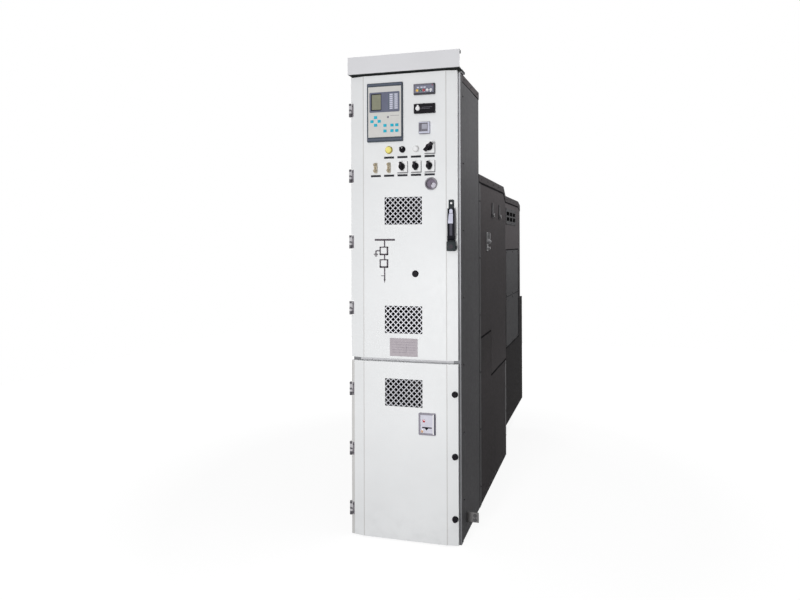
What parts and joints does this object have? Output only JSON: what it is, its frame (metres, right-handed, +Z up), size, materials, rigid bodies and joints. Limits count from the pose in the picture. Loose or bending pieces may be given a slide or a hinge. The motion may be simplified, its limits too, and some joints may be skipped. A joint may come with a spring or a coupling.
{
  "type": "gas-insulated switchgear panel",
  "caption": "Tall narrow metal-enclosed switchgear panel with two hinged front doors, vents, relay, switches and a swing handle, and stepped rear sections behind.",
  "frame": {"origin": "on the floor, at the centre of the four floor-bolt holes", "axes": "+X to the right seen from the front, +Y from the front to the rear, +Z up"},
  "size_m": [0.68, 2.244, 2.5635],
  "materials": {
    "front_white": "satin powder coat",
    "frame_grey": "satin powder coat",
    "cornice_grey": "satin powder coat",
    "side_dark": "dull dark zinc-coated sheet",
    "galvanised": "zinc-coated sheet",
    "base_dark": "matt paint",
    "hinge_metal": "die-cast, dark finish",
    "bright_steel": "plated",
    "tinned_bar": "tin-plated bar",
    "grille_white": "powder coat",
    "relay_slate": "fine-grained plastic",
    "relay_cream": "overlay film",
    "screen_slate": "smooth window surround",
    "key_turquoise": "soft key",
    "black_plastic": "fine-grained plastic",
    "indicator_dark": "dark window",
    "meter_grey": "grey plastic",
    "yellow_lens": "moulded lens",
    "white_plastic": "white plastic",
    "link_beige": "phenolic body",
    "label_black": "engraving laminate",
    "gauge_grey": "painted rim",
    "plate_grey": "etched plate",
    "earthing_grey": "grey plastic"
  },
  "bodies": {
    "cabinet": {"base_rails": "base_dark", "base_crossbars": "base_dark", "front_posts": "frame_grey", "front_rails": "frame_grey", "front_sides": "side_dark", "front_roof": "side_dark", "bulkhead": "galvanised", "mid_shelf": "galvanised", "cornice": "cornice_grey", "tank_upper_panels": "side_dark", "tank_lower_panels": "side_dark", "tank_lid": "side_dark", "tank_rear_wall": "side_dark", "bus_sides": "side_dark", "bus_lid": "side_dark", "bus_rear_cover": "side_dark", "rear_box_sides": "side_dark", "rear_box_wrap": "side_dark", "bus_louvres": "side_dark", "side_covers": "side_dark", "lifting_lugs": "side_dark", "gas_valve": "side_dark", "earth_bar": "tinned_bar", "hinge_bases": "hinge_metal"},
    "upper_door": {"upper_door": "front_white", "upper_hinge_leaves": "hinge_metal", "upper_grilles": "grille_white", "relay_case": "relay_slate", "relay_face": "relay_cream", "relay_screen": "screen_slate", "relay_keys": "key_turquoise", "voltage_indicator": "indicator_dark", "control_unit": "black_plastic", "humidity_controller": "meter_grey", "yellow_button": "yellow_lens", "black_knob": "black_plastic", "white_button": "white_plastic", "switch_plates": "white_plastic", "test_links": "link_beige", "label_strips": "label_black", "gas_gauge": "gauge_grey", "hole_plug": "black_plastic", "rating_plate": "plate_grey", "handle_base": "black_plastic"},
    "handle_pivot": {"handle_pivot": "bright_steel"},
    "handle_lever": {"handle_lever": "black_plastic"},
    "control_switch": {"control_switch_handle": "black_plastic"},
    "left_selector": {"left_selector_handle": "black_plastic"},
    "middle_selector": {"middle_selector_handle": "black_plastic"},
    "right_selector": {"right_selector_handle": "black_plastic"},
    "lower_door": {"lower_door": "front_white", "lower_hinge_leaves": "hinge_metal", "lower_grille": "grille_white", "earthing_plate": "earthing_grey", "door_knobs": "black_plastic"}
  },
  "joints": [
    {"name": "upper_door_swing", "type": "hinge", "parent": "cabinet", "child": "upper_door", "pos_m": [-0.31, -0.707, 1.7], "axis": [0, 0, -1], "range_deg": [0, 120]},
    {"name": "lower_door_swing", "type": "hinge", "parent": "cabinet", "child": "lower_door", "pos_m": [-0.31, -0.707, 0.47], "axis": [0, 0, -1], "range_deg": [0, 120]},
    {"name": "handle_turn", "type": "hinge", "parent": "upper_door", "child": "handle_pivot", "pos_m": [0.25726, -0.72086, 1.735], "axis": [-0.1521, 0.9884, 0], "range_deg": [0, 90]},
    {"name": "handle_lift", "type": "hinge", "parent": "handle_pivot", "child": "handle_lever", "pos_m": [0.25863, -0.72976, 1.735], "axis": [-0.9884, -0.1521, 0], "range_deg": [0, 20]},
    {"name": "control_switch_turn", "type": "hinge", "parent": "upper_door", "child": "control_switch", "pos_m": [0.1415, -0.728, 2.068], "axis": [0, 1, 0], "range_deg": [-45, 45]},
    {"name": "left_selector_turn", "type": "hinge", "parent": "upper_door", "child": "left_selector", "pos_m": [-0.0085, -0.728, 1.972], "axis": [0, 1, 0], "range_deg": [0, 60]},
    {"name": "middle_selector_turn", "type": "hinge", "parent": "upper_door", "child": "middle_selector", "pos_m": [0.0665, -0.728, 1.972], "axis": [0, 1, 0], "range_deg": [0, 60]},
    {"name": "right_selector_turn", "type": "hinge", "parent": "upper_door", "child": "right_selector", "pos_m": [0.1415, -0.728, 1.972], "axis": [0, 1, 0], "range_deg": [0, 60]}
  ]
}
